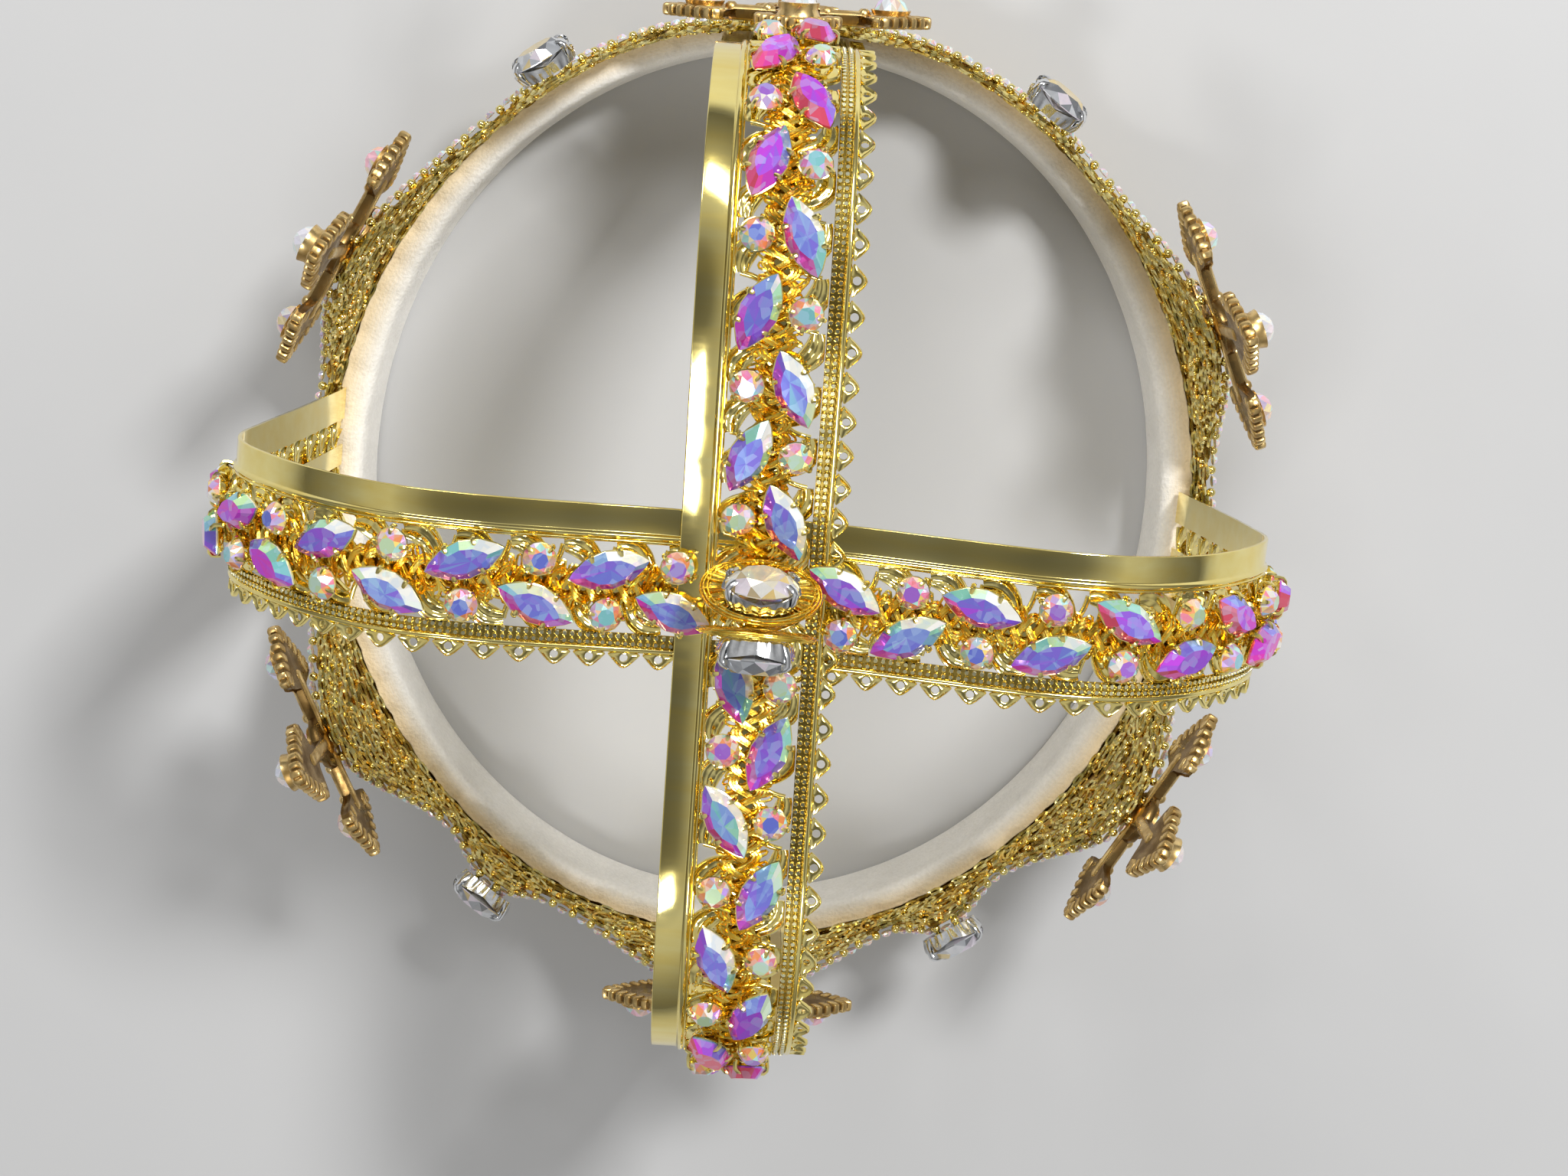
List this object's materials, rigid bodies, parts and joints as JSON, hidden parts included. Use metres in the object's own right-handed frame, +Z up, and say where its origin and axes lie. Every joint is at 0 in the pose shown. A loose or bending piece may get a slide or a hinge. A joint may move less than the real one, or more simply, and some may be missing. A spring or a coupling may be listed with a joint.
{
  "type": "rhinestone crown",
  "caption": "Closed crown worn on the head: padded oval lace band, crossed pierced arches set with iridescent stones, standing crosses and a wire finial.",
  "frame": {"origin": "on the table under the middle of the crown, 2 mm from the middle of the band", "axes": "+Z up through the crossing of the arches, -Y to the front, +X to the wearer's left"},
  "size_m": [0.213, 0.2218, 0.1546],
  "materials": {
    "felt": "matte cream felt",
    "lace_gold": "metallic braided lace",
    "bright_gold": "polished gilt strip",
    "antique_gold": "dull antique gilt casting",
    "wire_gold": "coiled gilt wire",
    "iridescent": "rainbow coated cut stones on gilt braid",
    "rose_stone": "rainbow coated domed stones",
    "clear_stone": "clear cut stones",
    "silver": "bright silver claw cups"
  },
  "bodies": {
    "root": {"felt_lining": "felt", "lace_band": "lace_gold", "arch_side": "bright_gold", "arch_front": "bright_gold", "trim_left": "iridescent", "trim_right": "iridescent", "trim_front": "iridescent", "trim_back": "iridescent", "cross_1": "antique_gold", "cross_2": "antique_gold", "cross_3": "antique_gold", "cross_4": "antique_gold", "cross_5": "antique_gold", "cross_6": "antique_gold", "cross_1_stone_centre": "rose_stone", "cross_1_stone_left": "rose_stone", "cross_1_stone_right": "rose_stone", "cross_1_stone_top": "rose_stone", "cross_1_stone_bottom": "rose_stone", "cross_2_stone_centre": "rose_stone", "cross_2_stone_left": "rose_stone", "cross_2_stone_right": "rose_stone", "cross_2_stone_top": "rose_stone", "cross_2_stone_bottom": "rose_stone", "cross_3_stone_centre": "rose_stone", "cross_3_stone_left": "rose_stone", "cross_3_stone_right": "rose_stone", "cross_3_stone_top": "rose_stone", "cross_3_stone_bottom": "rose_stone", "cross_4_stone_centre": "rose_stone", "cross_4_stone_left": "rose_stone", "cross_4_stone_right": "rose_stone", "cross_4_stone_top": "rose_stone", "cross_4_stone_bottom": "rose_stone", "cross_5_stone_centre": "rose_stone", "cross_5_stone_left": "rose_stone", "cross_5_stone_right": "rose_stone", "cross_5_stone_top": "rose_stone", "cross_5_stone_bottom": "rose_stone", "cross_6_stone_centre": "rose_stone", "cross_6_stone_left": "rose_stone", "cross_6_stone_right": "rose_stone", "cross_6_stone_top": "rose_stone", "cross_6_stone_bottom": "rose_stone", "base_setting_1": "silver", "base_setting_2": "silver", "base_setting_3": "silver", "base_setting_4": "silver", "base_stone_1": "clear_stone", "base_stone_2": "clear_stone", "base_stone_3": "clear_stone", "base_stone_4": "clear_stone", "finial_disc_front": "wire_gold", "finial_disc_back": "wire_gold", "finial_setting_front": "silver", "finial_setting_back": "silver", "finial_stone_front": "clear_stone", "finial_stone_back": "clear_stone"}
  },
  "joints": []
}
